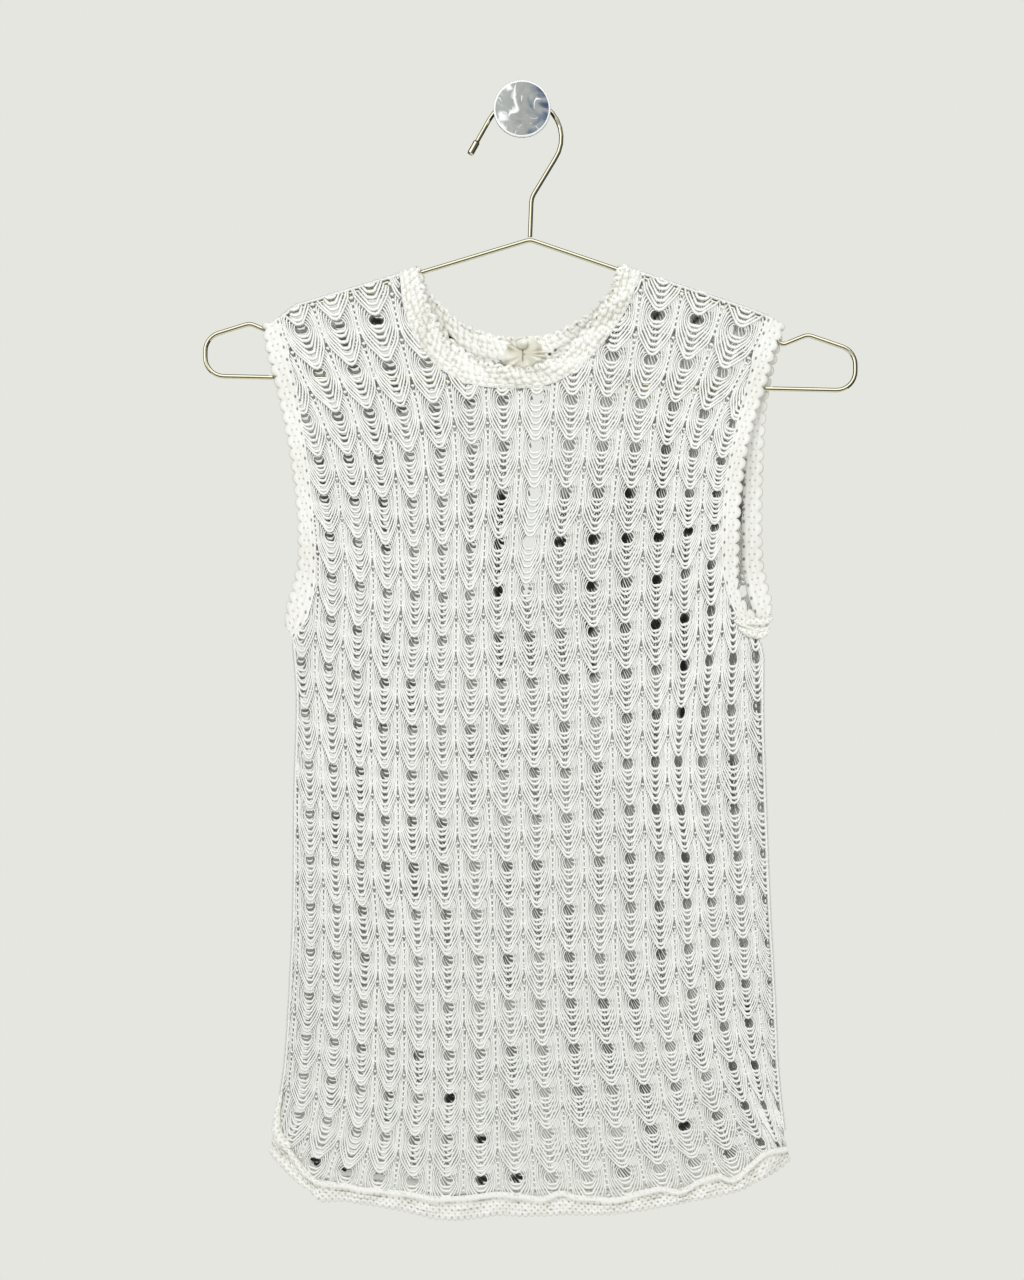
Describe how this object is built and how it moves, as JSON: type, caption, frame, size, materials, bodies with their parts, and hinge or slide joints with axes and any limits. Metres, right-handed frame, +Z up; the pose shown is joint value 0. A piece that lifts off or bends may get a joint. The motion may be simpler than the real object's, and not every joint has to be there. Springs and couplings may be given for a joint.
{
  "type": "crochet top on a wire hanger and wall peg",
  "caption": "Sleeveless openwork knitted top with banded neck, armholes and hem, flat on a bent wire hanger that hangs from a round wall peg.",
  "frame": {"origin": "centre of the peg's back end, where a wall holds it", "axes": "+Y into the wall along the peg, +Z up, +X to the viewer's right of the front"},
  "size_m": [0.4318, 0.0736, 0.7456],
  "materials": {
    "lace_yarn": "soft white cotton yarn, openwork",
    "band_yarn": "soft white cotton yarn, garter stitch",
    "button": "satin cream",
    "brass_wire": "bright pale gold",
    "chrome": "mirror"
  },
  "bodies": {
    "root": {"front_panel": "lace_yarn", "back_panel": "lace_yarn", "neckband_front": "band_yarn", "neckband_back_left": "band_yarn", "neckband_back_right": "band_yarn", "armband_left_front": "band_yarn", "armband_left_back": "band_yarn", "armband_right_front": "band_yarn", "armband_right_back": "band_yarn", "hem_band_front": "band_yarn", "hem_band_back": "band_yarn", "neck_button": "button", "button_loop": "band_yarn", "hanger_frame": "brass_wire", "hanger_hook": "brass_wire", "peg_disc": "chrome", "peg_arm": "chrome"}
  },
  "joints": []
}
